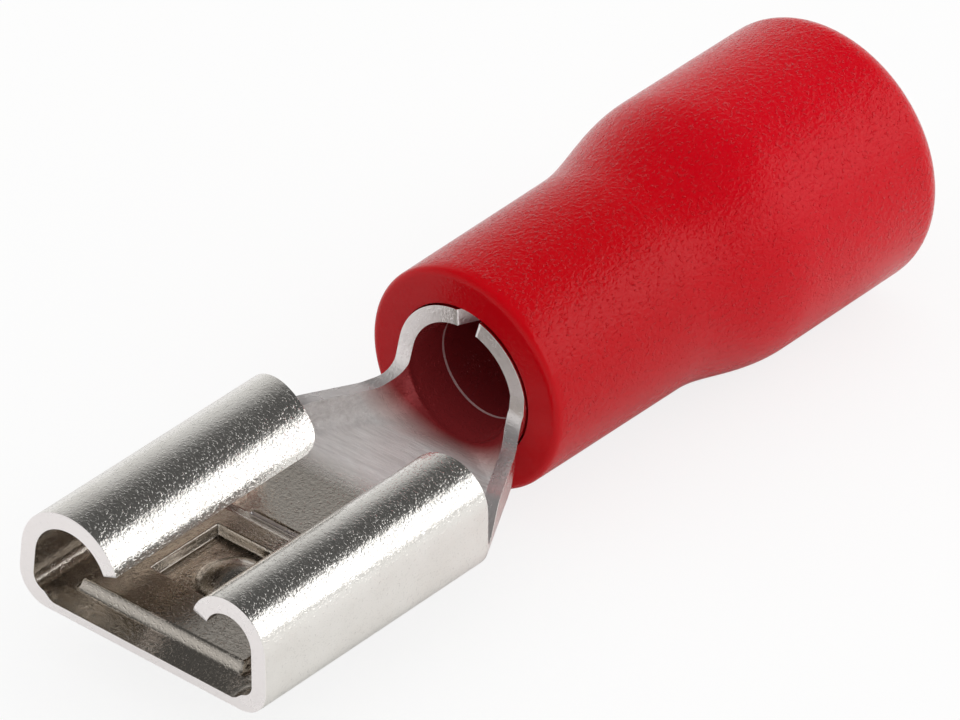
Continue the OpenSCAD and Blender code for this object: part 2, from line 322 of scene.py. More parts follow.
def floor_top(x, y):
    """Height of the sheet's upper face in the receptacle."""
    x = abs(x)
    ramp = (SHEET - LIP) * (1 - clamped(y / RAMP)) * (1 - step(x, FLOOR_HALF - 0.05, 0.3))
    rise = clamped((y - SEAT_SLOPES[0]) / (SEAT_SLOPES[1] - SEAT_SLOPES[0]))
    fall = clamped((y - SEAT_SLOPES[2]) / (SEAT_SLOPES[3] - SEAT_SLOPES[2]))
    seat = (SEAT_TOP - SHEET) * (mix(rise, eased(rise), 0.6) - mix(fall, eased(fall), 0.6))
    seat *= 1 - step(x, SEAT_HALF, 0.12)
    top = SHEET - ramp + seat
    inside = 1 - step(x, POCKET_HALF, 0.05)
    inside *= step(y, POCKET[0], 0.05) * (1 - step(y, POCKET[1], 0.05))
    ball_r = (DIMPLE_R ** 2 + DIMPLE_RISE ** 2) / (2 * DIMPLE_RISE)
    away = math.hypot(x, y - DIMPLE_Y)
    cap = DIMPLE_RISE - ball_r + math.sqrt(max(0.0, ball_r ** 2 - min(away, ball_r) ** 2))
    cap = (cap + math.sqrt(cap * cap + DIMPLE_FOOT * DIMPLE_FOOT)) / 2 if away < 1.2 * DIMPLE_R else 0.0
    return mix(top, POCKET_FLOOR + cap, inside)


def floor_under(x, y):
    """Height of the sheet's lower face in the receptacle."""
    x = abs(x)
    hollow = step(y, SEAT_SLOPES[1], 0.12) * (1 - step(y, SEAT_SLOPES[2], 0.12))
    hollow *= 1 - step(x, SEAT_HALF - 0.2, 0.12)
    return HOLLOW * hollow


print("Floor height at the mouth, seat and dimple:",
      [round(floor_top(0, y), 2) for y in (0.0, 1.2, DIMPLE_Y)])

# %% [markdown]
# ## The grid of the sheet
# The mesh is a grid on the blank, before it is folded. Its columns run along the terminal and its
# rows run across. Lines are set close together at each crease and further apart on plain stretches,
# which gives crisp features without a heavy mesh.

# %% Lay out the columns and the rows
def filled(stops):
    """Values through (end, step) stops, evenly spread between each two ends."""
    values = [stops[0][0]]
    for end, spacing in stops[1:]:
        count = max(1, math.ceil((end - values[-1]) / spacing - TINY))
        start = values[-1]
        values += [mix(start, end, k / count) for k in range(1, count + 1)]
    return values


floor_columns = filled([(0, 0), (0.95, 0.06), (1.32, 0.13), (1.42, 0.0167),
                        (2.1, 0.12), (2.3, 0.034), (FLOOR_HALF, 0.1)])
corner_columns = filled([(FLOOR_HALF, 0), (CUT_DISTANCE, 0.08)])[1:]
strip = floor_columns + corner_columns
TIP_COLUMNS = 10
curl_columns = {}
for side in CURLS:
    end = side_length(side)
    plain = filled([(CUT_DISTANCE, 0), (end - TIP_CORNER_R, 0.085)])[1:]
    tip = [end - TIP_CORNER_R * math.cos(math.pi / 2 * k / TIP_COLUMNS) for k in range(1, TIP_COLUMNS + 1)]
    curl_columns[side] = plain + tip
WING_COLUMNS = 26
FIRST_WING_COLUMN = 100
BARREL_HALF_ROUND = 6

receptacle_rows = filled([(0, 0), (0.07, 0.07), (0.4, 0.06), (0.7, 0.025), (1.72, 0.12), (1.82, 0.0167),
                          (3.68, 0.06), (3.78, 0.0167), (4.15, 0.1), (4.3, 0.03), (4.6, 0.06),
                          (4.66, 0.03), (4.76, 0.05), (4.9, 0.07), (RECEPTACLE_END, 0.14)])
neck_rows = filled([(RECEPTACLE_END, 0), (8.6, 0.1), (9.2, 0.05), (9.49, 0.0242), (BARREL_FRONT, 0.06)])[1:]
barrel_rows = filled([(BARREL_FRONT, 0), (9.61, 0.06), (10.2, 0.08), (10.5, 0.0188),
                      (14.69, 0.16), (BARREL_REAR, 0.06)])[1:]
ROWS = receptacle_rows + neck_rows + barrel_rows
LAST_RECEPTACLE_ROW = len(receptacle_rows) - 1
FIRST_BARREL_ROW = LAST_RECEPTACLE_ROW + len(neck_rows)
print("Rows:", len(ROWS), " columns on one side:", len(strip))
print("More columns in the curls:", {side: len(columns) for side, columns in curl_columns.items()})

# %% [markdown]
# ## From the grid to the folded sheet
# Each grid point is put on the middle of the sheet, and the sheet's normal gives the two faces.
# The rear edges of the curls are sheared a little and rounded at the tip, so the rows of each
# curl are drawn in until the last one lies on that edge.

# %% Place a grid point
def rear_edge(side, distance):
    """How far back the curl's sheet goes at a distance from the centre line."""
    curl = CURLS[side]
    x, z, slope = receptacle_path(side, distance)
    if distance < CUT_DISTANCE + 0.4:
        return RECEPTACLE_END
    x += SHEET / 2 * math.sin(slope)
    sweep = math.tan(math.radians(curl["sweep"]))
    edge = RECEPTACLE_END - (HALF_WIDTH - x) * sweep * clamped((z - CORNER_R) / 0.8)
    to_tip = side_length(side) - distance
    if to_tip < TIP_CORNER_R:
        reach = TIP_CORNER_R - to_tip
        edge -= TIP_CORNER_R - math.sqrt(max(0.0, TIP_CORNER_R ** 2 - reach ** 2))
    return edge


def faces_of(side, y, path):
    """The inner and the outer point of the sheet around a point of its middle."""
    x, z, slope = path
    nx, nz = -math.sin(slope) * SHEET / 2, math.cos(slope) * SHEET / 2
    return (side * (x + nx), y, z + nz), (side * (x - nx), y, z - nz)


def strip_point(side, column, row):
    """A point of the strip that runs from the mouth to the barrel's rear."""
    y = ROWS[row]
    if row <= LAST_RECEPTACLE_ROW:
        x, z, slope = receptacle_path(side, strip[column])
        if slope == 0.0:
            return (side * x, y, floor_top(x, y)), (side * x, y, floor_under(x, y))
        # In the folded corner, the floor's height is added across the sheet
        inner, outer = faces_of(side, y, (x, z, slope))
        raised = floor_top(x, y) - SHEET
        return (inner[0] - side * math.sin(slope) * raised, y, inner[2] + math.cos(slope) * raised), outer
    if row < FIRST_BARREL_ROW:
        distance = strip[column] * neck_reach(y) / CUT_DISTANCE
        return faces_of(side, y, neck_path(y, distance))
    angle = strip[column] / CUT_DISTANCE * RIM_ANGLE
    return faces_of(side, y, barrel_path(y, angle))


def curl_point(side, column, row):
    """A point of the side wall or of the curl."""
    distance = curl_columns[side][column]
    y = ROWS[row] * rear_edge(side, distance) / RECEPTACLE_END
    return faces_of(side, y, receptacle_path(side, distance))


def wing_point(side, column, row):
    """A point of the barrel between the neck's wall and the seam."""
    y = ROWS[row]
    angle = mix(RIM_ANGLE, seam_end(side, y), (column + 1) / WING_COLUMNS)
    return faces_of(side, y, barrel_path(y, angle))


print("The left curl's rear edge ends at", round(rear_edge(-1, side_length(-1)), 2), "mm from the mouth")

# %% [markdown]
# ## Stitch the two faces into one solid
# The inner and outer points share one grid. A wall of faces closes every free edge, the slit
# among them, so the sheet is a closed solid of even thickness. Solidify could add the thickness,
# but it can't thin the lip or raise a dimple on one face only.

# %% Build the terminal's mesh
def build_terminal():
    """Points, blank coordinates and faces of the sheet, and the edges between its faces and its cuts."""
    points, uvs, index = [], [], {}

    def add(key, place, across, along):
        """Keeps the inner and the outer point of one grid place."""
        inner, outer = place
        index[key] = len(points)
        points.extend([inner, outer])
        uvs.extend([(across, along)] * 2)

    for row in range(len(ROWS)):
        for side in (-1, 1):
            for column, distance in enumerate(strip):
                key = (row, side * column)
                if key not in index:
                    add(key, strip_point(side, column, row), side * distance, ROWS[row])
            reach = len(strip)
            if row <= LAST_RECEPTACLE_ROW:
                for column, distance in enumerate(curl_columns[side]):
                    key = (row, side * (reach + column))
                    add(key, curl_point(side, column, row), side * distance, ROWS[row])
            if row >= FIRST_BARREL_ROW:
                for column in range(WING_COLUMNS):
                    distance = mix(CUT_DISTANCE, BARREL_HALF_ROUND, (column + 1) / WING_COLUMNS)
                    key = (row, side * (FIRST_WING_COLUMN + column))
                    add(key, wing_point(side, column, row), side * distance, ROWS[row])

    def neighbour(side, column, wing):
        """The key of the column after this one, in the curl or in the barrel's wing."""
        if wing and column == len(strip) - 1:
            return side * FIRST_WING_COLUMN
        return side * (column + 1)

    faces, edge_use = [], {}

    def quad(a, b, c, d):
        """The same four corners on both faces of the sheet, turned over on the outer one."""
        corners = [index[k] for k in (a, b, c, d)]
        faces.append(tuple(corners))
        faces.append(tuple(k + 1 for k in reversed(corners)))
        for k in range(4):
            start, end = corners[k], corners[(k + 1) % 4]
            edge_use[(start, end)] = True

    for row in range(len(ROWS) - 1):
        y0, y1 = ROWS[row], ROWS[row + 1]
        for side in (-1, 1):
            last = len(strip) - 1
            columns = list(range(last))
            if row < LAST_RECEPTACLE_ROW:
                columns += list(range(last, last + len(curl_columns[side])))
            if row >= FIRST_BARREL_ROW:
                columns += [last] + list(range(FIRST_WING_COLUMN, FIRST_WING_COLUMN + WING_COLUMNS - 1))
            for column in columns:
                across_slit = column < last and strip[column + 1] <= POCKET_HALF + TINY
                if across_slit and y0 >= SLIT[0] - TINY and y1 <= SLIT[1] + TINY:
                    continue
                after = neighbour(side, column, row >= FIRST_BARREL_ROW)
                ring = [(row, side * column), (row, after), (row + 1, after), (row + 1, side * column)]
                quad(*(ring if side > 0 else reversed(ring)))

    rim_edges = []
    for start, end in edge_use:
        if (end, start) not in edge_use:
            faces.append((end, start, start + 1, end + 1))
            rim_edges.append((start, end))
    return points, uvs, faces, rim_edges


points, uvs, faces, rim_edges = build_terminal()
terminal_mesh = bpy.data.meshes.new("terminal_dressed")
terminal_mesh.from_pydata([(x * MM, y * MM, (z + BASE_Z) * MM) for x, y, z in points], [], faces)
uv_layer = terminal_mesh.uv_layers.new(name="blank")
for loop in terminal_mesh.loops:
    uv_layer.data[loop.index].uv = uvs[loop.vertex_index]

# The colour, with its painted shade and reflections, and the finish differ on the inner face and on the cuts,
# so the mesh says which is which
inner_face = terminal_mesh.attributes.new("inner_face", "FLOAT", "POINT")
for k, point in enumerate(inner_face.data):
    point.value = 1.0 if k % 2 == 0 else 0.0
cut_face = terminal_mesh.attributes.new("cut_face", "FLOAT", "FACE")
for k, polygon in enumerate(cut_face.data):
    polygon.value = 1.0 if k >= len(faces) - len(rim_edges) else 0.0
terminal_mesh.validate()
terminal = bpy.data.objects.new("terminal_dressed", terminal_mesh)
bpy.context.scene.collection.objects.link(terminal)
print("Terminal:", len(terminal_mesh.vertices), "points,", len(terminal_mesh.polygons), "faces")

# %% [markdown]
# ## Break the sharp edges
# A stamped edge is never razor sharp: it is a little rounded, and it catches the light as a thin
# line. The bevel modifier rounds only the edges that carry a weight, so the coined floor stays as
# it is. Its normals are hardened, so that the wide faces beside the bevel stay flat.

# %% Weight and bevel the stamped edges
EDGE_ROUND = 0.045
weight = terminal_mesh.attributes.new("bevel_weight_edge", "FLOAT", "EDGE")
edge_index = {edge.key: edge.index for edge in terminal_mesh.edges}
for start, end in rim_edges:
    y = (points[start][1] + points[end][1]) / 2
    in_slit = SLIT[0] - 0.01 <= y <= SLIT[1] + 0.01 and abs(points[start][0]) <= POCKET_HALF + 0.01
    if not in_slit:
        for shift in (0, 1):
            key = tuple(sorted((start + shift, end + shift)))
            weight.data[edge_index[key]].value = 1.0
for polygon in terminal_mesh.polygons:
    polygon.use_smooth = True
bevel = terminal.modifiers.new("stamped edges", "BEVEL")
bevel.limit_method = "WEIGHT"
bevel.width = EDGE_ROUND * MM
bevel.segments = 3
bevel.harden_normals = True
print("Edges rounded by", EDGE_ROUND, "mm:", 2 * len(rim_edges))

# %% [markdown]
# ## The moulded sleeve
# The sleeve is a body of revolution: a straight front part that grips the barrel, a flare, and a
# wider rear that takes the wire's insulation. Its shape follows a rule, so Geometry Nodes turn it.
# A helper adds the nodes and joins them in one line each, which keeps the tree readable.

# %% Helpers for node trees
def add_node(tree, kind, links=None, **settings):
    """Adds a node, gives its settings, and fills its inputs with links or plain values."""
    node = tree.nodes.new(kind)
    for name, value in settings.items():
        setattr(node, name, value)
    for socket, value in (links or {}).items():
        if isinstance(value, bpy.types.NodeSocket):
            tree.links.new(value, node.inputs[socket])
        else:
            node.inputs[socket].default_value = value
    return node


def math_node(tree, operation, *values):
    """One sum of links or plain values."""
    return add_node(tree, "ShaderNodeMath", dict(enumerate(values)), operation=operation).outputs[0]


def named_input(tree, name, kind, default):
    """An input that shows under its name in the modifier."""
    socket = tree.interface.new_socket(name, in_out="INPUT", socket_type=kind)
    if default is not None:
        socket.default_value = default
    return socket


print("Helpers for node trees:", [helper.__name__ for helper in (add_node, math_node, named_input)])

# %% [markdown]
# ### The sleeve's profile
# One closed line describes the cut through the wall: the outside, the rounded rear end, the wire
# entry with its funnel, and the seat round the barrel. The line is drawn at the front radius
# everywhere on the outside, and the tree swells it to the waist and the rear.

# %% Draw the profile of the sleeve
SLEEVE_FRONT = 9.62
SLEEVE_REAR = 21.49
FRONT_R = 2.50
WAIST_R = 2.54
REAR_R = 3.04
FLARE_START = SLEEVE_FRONT + 4.53
FLARE_LENGTH = 2.97
FRONT_ROUND = 0.15
REAR_ROUND = 0.66
ENTRY_R = 2.06
ENTRY_ROUND = 0.2
SEAT_END = 14.77
FUNNEL = (15.27, 16.42)
GRIP = 0.02
SEGMENTS = 180
SHARP_STEP = math.radians(35)


def arc(centre_r, centre_y, r, start, end, count):
    """Points on an arc, with its ends given in degrees."""
    angles = [math.radians(mix(start, end, k / count)) for k in range(count + 1)]
    return [(centre_r + r * math.cos(a), centre_y + r * math.sin(a)) for a in angles]


outside = arc(FRONT_R - FRONT_ROUND, SLEEVE_FRONT + FRONT_ROUND, FRONT_ROUND, -90, 0, 6)
outside += [(FRONT_R, y) for y in filled([(10.0, 0), (FLARE_START, 0.3), (FLARE_START + FLARE_LENGTH, 0.1),
                                          (SLEEVE_REAR - REAR_ROUND - 0.1, 0.3)])]
outside += arc(FRONT_R - REAR_ROUND, SLEEVE_REAR - REAR_ROUND, REAR_ROUND, 0, 90, 14)
inside = arc(ENTRY_R + ENTRY_ROUND, SLEEVE_REAR - ENTRY_ROUND, ENTRY_ROUND, 90, 180, 8)
inside += [(ENTRY_R, 21.0), (ENTRY_R, 18.5), (ENTRY_R, FUNNEL[1] + 0.1), (ENTRY_R, FUNNEL[1])]
inside += [(BORE_R + GRIP, FUNNEL[0]), (BORE_R + GRIP, SEAT_END)]
inside += [(BORE_R + SHEET + GRIP, SEAT_END), (BORE_R + SHEET + GRIP, BELL_END)]
inside += [(BELL_R + GRIP, SLEEVE_FRONT), (BELL_R + 0.1, SLEEVE_FRONT), (FRONT_R - 0.2, SLEEVE_FRONT)]
profile = outside + inside
profile_mesh = bpy.data.meshes.new("sleeve_profile")
profile_mesh.from_pydata([(r * MM, y * MM, 0) for r, y in profile], [], [])
swell = profile_mesh.attributes.new("outside", "FLOAT", "POINT")
for k, point in enumerate(swell.data):
    point.value = 1.0 if k < len(outside) else 0.0
print("Points in the sleeve's profile:", len(profile))

# %% [markdown]
# ### Turning the profile
# The tree makes a grid with one line of points for each step round the axis, looks up each point's
# place in the profile, and turns it. Curve to Mesh would do the turning too, but it twists the
# profile on some paths, and a lookup shows plainly what happens to each point.

# %% Build the tree that turns the sleeve
def sleeve_tree(material):
    """Turns the profile into the sleeve, and swells its outside to the given radii."""
    tree = bpy.data.node_groups.new("turned sleeve", "GeometryNodeTree")
    named_input(tree, "Geometry", "NodeSocketGeometry", None)
    named_input(tree, "Segments", "NodeSocketInt", SEGMENTS)
    for name in ("Axis Height", "Front Radius", "Waist Radius", "Rear Radius",
                 "Front Face", "Flare Start", "Flare Length"):
        named_input(tree, name, "NodeSocketFloat", 0.0)
    tree.interface.new_socket("Geometry", in_out="OUTPUT", socket_type="NodeSocketGeometry")
    given = tree.nodes.new("NodeGroupInput").outputs

    # One row of grid points for each profile point, and one more that closes the wall
    size = add_node(tree, "GeometryNodeAttributeDomainSize", {"Geometry": given["Geometry"]})
    size = size.outputs["Point Count"]
    rows = math_node(tree, "ADD", size, 1)
    around = math_node(tree, "ADD", given["Segments"], 1)
    grid = add_node(tree, "GeometryNodeMeshGrid", {"Vertices X": rows, "Vertices Y": around})
    index = tree.nodes.new("GeometryNodeInputIndex").outputs[0]
    row = math_node(tree, "FLOOR", math_node(tree, "DIVIDE", index, around))
    along = math_node(tree, "FLOORED_MODULO", row, size)
    turn = math_node(tree, "DIVIDE", math_node(tree, "MODULO", index, around), given["Segments"])
    turn = math_node(tree, "MULTIPLY", turn, 2 * math.pi)

    # The place of that profile point, and whether it lies on the outside
    position = tree.nodes.new("GeometryNodeInputPosition").outputs[0]
    looked_up = add_node(tree, "GeometryNodeSampleIndex", data_type="FLOAT_VECTOR", domain="POINT", links={
        "Geometry": given["Geometry"], "Value": position, "Index": along})
    place = add_node(tree, "ShaderNodeSeparateXYZ", {"Vector": looked_up.outputs["Value"]})
    flag = add_node(tree, "GeometryNodeInputNamedAttribute", {"Name": "outside"}, data_type="FLOAT")
    outer = add_node(tree, "GeometryNodeSampleIndex", data_type="FLOAT", domain="POINT", links={
        "Geometry": given["Geometry"], "Value": flag.outputs["Attribute"], "Index": along}).outputs["Value"]

    # The outside tapers from the front face to the waist, and then eases out to the rear
    y = place.outputs["Y"]
    taper_length = math_node(tree, "SUBTRACT", given["Flare Start"], given["Front Face"])
    taper = math_node(tree, "DIVIDE", math_node(tree, "SUBTRACT", y, given["Front Face"]), taper_length)
    taper = math_node(tree, "MINIMUM", math_node(tree, "MAXIMUM", taper, 0), 1)
    flare = math_node(tree, "SUBTRACT", y, given["Flare Start"])
    flare = math_node(tree, "DIVIDE", flare, given["Flare Length"])
    flare = math_node(tree, "MINIMUM", math_node(tree, "MAXIMUM", flare, 0), 1)
    flare = math_node(tree, "COSINE", math_node(tree, "MULTIPLY", flare, math.pi))
    flare = math_node(tree, "MULTIPLY", math_node(tree, "SUBTRACT", 1, flare), 0.5)
    growth = math_node(tree, "MULTIPLY", taper,
                       math_node(tree, "SUBTRACT", given["Waist Radius"], given["Front Radius"]))
    growth = math_node(tree, "ADD", growth, math_node(tree, "MULTIPLY", flare, math_node(
        tree, "SUBTRACT", given["Rear Radius"], given["Waist Radius"])))
    radius = math_node(tree, "ADD", place.outputs["X"], math_node(tree, "MULTIPLY", growth, outer))

    # Turn the point round the axis
    height = math_node(tree, "MULTIPLY", radius, math_node(tree, "COSINE", turn))
    turned = add_node(tree, "ShaderNodeCombineXYZ", {
        "X": math_node(tree, "MULTIPLY", radius, math_node(tree, "SINE", turn)),
        "Y": y,
        "Z": math_node(tree, "ADD", height, given["Axis Height"]),
    }).outputs[0]
    shape = add_node(tree, "GeometryNodeSetPosition", {"Geometry": grid.outputs["Mesh"], "Position": turned})
    shape = add_node(tree, "GeometryNodeMergeByDistance", {"Geometry": shape.outputs[0], "Distance": 1e-7})
    shape = add_node(tree, "GeometryNodeFlipFaces", {"Mesh": shape.outputs[0]})

    # Smooth everywhere but at the sharp steps of the inside
    angle = tree.nodes.new("GeometryNodeInputMeshEdgeAngle").outputs["Unsigned Angle"]
    soft = math_node(tree, "LESS_THAN", angle, SHARP_STEP)
    shape = add_node(tree, "GeometryNodeSetShadeSmooth", {"Geometry": shape.outputs[0], "Shade Smooth": True},
                     domain="FACE")
    shape = add_node(tree, "GeometryNodeSetShadeSmooth", {"Geometry": shape.outputs[0], "Shade Smooth": soft},
                     domain="EDGE")
    shape = add_node(tree, "GeometryNodeRealizeInstances", {"Geometry": shape.outputs[0]})
    shape = add_node(tree, "GeometryNodeSetMaterial", {"Geometry": shape.outputs[0], "Material": material})
    result = tree.nodes.new("NodeGroupOutput")
    tree.links.new(shape.outputs[0], result.inputs[0])
    return tree


print("The sleeve's tree can be built once its material exists")

# %% [markdown]
# ## The finish of the sleeve
# Soft PVC has a deep red body under a satin skin. The mould leaves a fine ripple and some raised
# specks, which show only where the skin shines. They are a tenth of a millimetre across, so they
# are bump and not mesh. The front half is painted a touch darker than the rear: painted shade, where
# the metal barrel inside darkens the light that comes through the thin red wall.

# %% Make the red PVC
def new_material(name):
    """An empty material and its node tree."""
    material = bpy.data.materials.new(name)
    material.use_nodes = True
    tree = material.node_tree
    tree.nodes.clear()
    return material, tree


def stretched(tree, vector, scale):
    """Places for a pattern that is longer along the axes with a small scale."""
    return add_node(tree, "ShaderNodeMapping", {"Vector": vector, "Scale": scale}).outputs[0]


def noise(tree, vector, size, detail=2.0, roughness=0.5, distortion=0.0):
    """A noise whose lumps are about as wide as the size, in millimetres."""
    node = add_node(tree, "ShaderNodeTexNoise", {
        "Vector": vector, "Scale": 1 / (size * MM), "Detail": detail,
        "Roughness": roughness, "Distortion": distortion})
    return node.outputs["Fac"]


def ranged(tree, value, low, high, to_low=0.0, to_high=1.0):
    """The value's place between low and high, as a place between two other ends."""
    return add_node(tree, "ShaderNodeMapRange", {
        "Value": value, "From Min": low, "From Max": high, "To Min": to_low, "To Max": to_high}).outputs[0]


def blended(tree, factor, first, second):
    """A colour between two colours."""
    links = {0: factor, 6: first, 7: second}
    return add_node(tree, "ShaderNodeMix", links, data_type="RGBA").outputs[2]


def bumped(tree, height, depth, normal=None):
    """A bump whose full height is the depth, in millimetres."""
    links = {"Height": height, "Distance": depth * MM}
    if normal is not None:
        links["Normal"] = normal
    return add_node(tree, "ShaderNodeBump", links).outputs[0]


def make_red_pvc():
    """Satin red PVC with a pebbled skin."""
    material, tree = new_material("red_pvc")
    place = tree.nodes.new("ShaderNodeTexCoord").outputs["Object"]
    along = add_node(tree, "ShaderNodeSeparateXYZ", {"Vector": place}).outputs["Y"]
    # Painted shade: the front, over the metal barrel, is painted darker than the rear half
    rear = ranged(tree, along, 13.5 * MM, 17.5 * MM)
    colour = blended(tree, rear, (0.50, 0.0008, 0.005, 1), (0.60, 0.0012, 0.009, 1))
    cloud = ranged(tree, noise(tree, place, 2.5, 3), 0.35, 0.65)
    colour = blended(tree, math_node(tree, "MULTIPLY", cloud, 0.12), colour, (0.43, 0.0008, 0.004, 1))

    ripple = noise(tree, stretched(tree, place, (1.0, 0.75, 1.0)), 0.085, 1.5, 0.55, 0.6)
    body = ranged(tree, along, 9.75 * MM, 9.95 * MM)
    ripple = math_node(tree, "MULTIPLY", ripple, ranged(tree, body, 0, 1, 0.25, 1))
    specks = ranged(tree, noise(tree, stretched(tree, place, (1.0, 0.7, 1.0)), 0.065, 1), 0.6, 0.74)
    specks = math_node(tree, "MULTIPLY", specks, body)
    normal = bumped(tree, ripple, 0.026)
    normal = bumped(tree, specks, 0.02, normal)
    gloss = ranged(tree, noise(tree, place, 0.6, 2), 0.3, 0.7, 0.11, 0.16)

    shader = add_node(tree, "ShaderNodeBsdfPrincipled", {
        "Base Color": colour, "Roughness": gloss, "IOR": 1.45, "Specular IOR Level": 0.2,
        "Subsurface Weight": 0.2, "Subsurface Radius": (1.0, 0.1, 0.08), "Subsurface Scale": 0.6 * MM,
        "Normal": normal})
    output = tree.nodes.new("ShaderNodeOutputMaterial")
    tree.links.new(shader.outputs[0], output.inputs["Surface"])
    return material


red_pvc = make_red_pvc()
print("Finish:", red_pvc.name, "with", len(red_pvc.node_tree.nodes), "nodes")

# %% [markdown]
# ### The finished sleeve
# The tree gets its sizes through its named inputs. The turned shape is then made a plain mesh,
# so that the piece stands without its tree. The profile is of no more use after that, and is
# removed.

# %% Turn the sleeve and make it a plain mesh
sleeve_source = bpy.data.objects.new("sleeve_source", profile_mesh)
bpy.context.scene.collection.objects.link(sleeve_source)
modifier = sleeve_source.modifiers.new("turned sleeve", "NODES")
modifier.node_group = sleeve_tree(red_pvc)
sleeve_sizes = {
    "Segments": SEGMENTS,
    "Axis Height": (AXIS_Z + BASE_Z) * MM,
    "Front Radius": FRONT_R * MM,
    "Waist Radius": WAIST_R * MM,
    "Rear Radius": REAR_R * MM,
    "Front Face": SLEEVE_FRONT * MM,
    "Flare Start": FLARE_START * MM,
    "Flare Length": FLARE_LENGTH * MM,
}
for item in modifier.node_group.interface.items_tree:
    if item.in_out == "INPUT" and item.name in sleeve_sizes:
        modifier[item.identifier] = sleeve_sizes[item.name]
depsgraph = bpy.context.evaluated_depsgraph_get()
sleeve_mesh = bpy.data.meshes.new_from_object(sleeve_source.evaluated_get(depsgraph))
sleeve_source.modifiers.remove(modifier)
bpy.data.objects.remove(sleeve_source)
sleeve_mesh.name = "sleeve_dressed"
sleeve = bpy.data.objects.new("sleeve_dressed", sleeve_mesh)
bpy.context.scene.collection.objects.link(sleeve)
sleeve_mesh.materials.clear()
sleeve_mesh.materials.append(red_pvc)
print("Sleeve:", len(sleeve_mesh.vertices), "points,", len(sleeve_mesh.polygons), "faces, materials",
      [m.name for m in sleeve_mesh.materials])

# %% [markdown]
# ## The finish of the terminal
# Bright tin plate is a mirror with a fine grain. The rolled strip leaves faint lines along the
# terminal, the plating leaves small lumps that break reflections into specks, and bending scores
# the neck. All of it is far too small to model, so it goes into bump, colour and roughness.
# The metal inside the bell has the sleeve all round it, which shades it and reflects red into it.
# That dark red reflection and shade are painted into the inner face's colour, so they hold in any
# light, and they fade out towards the neck.

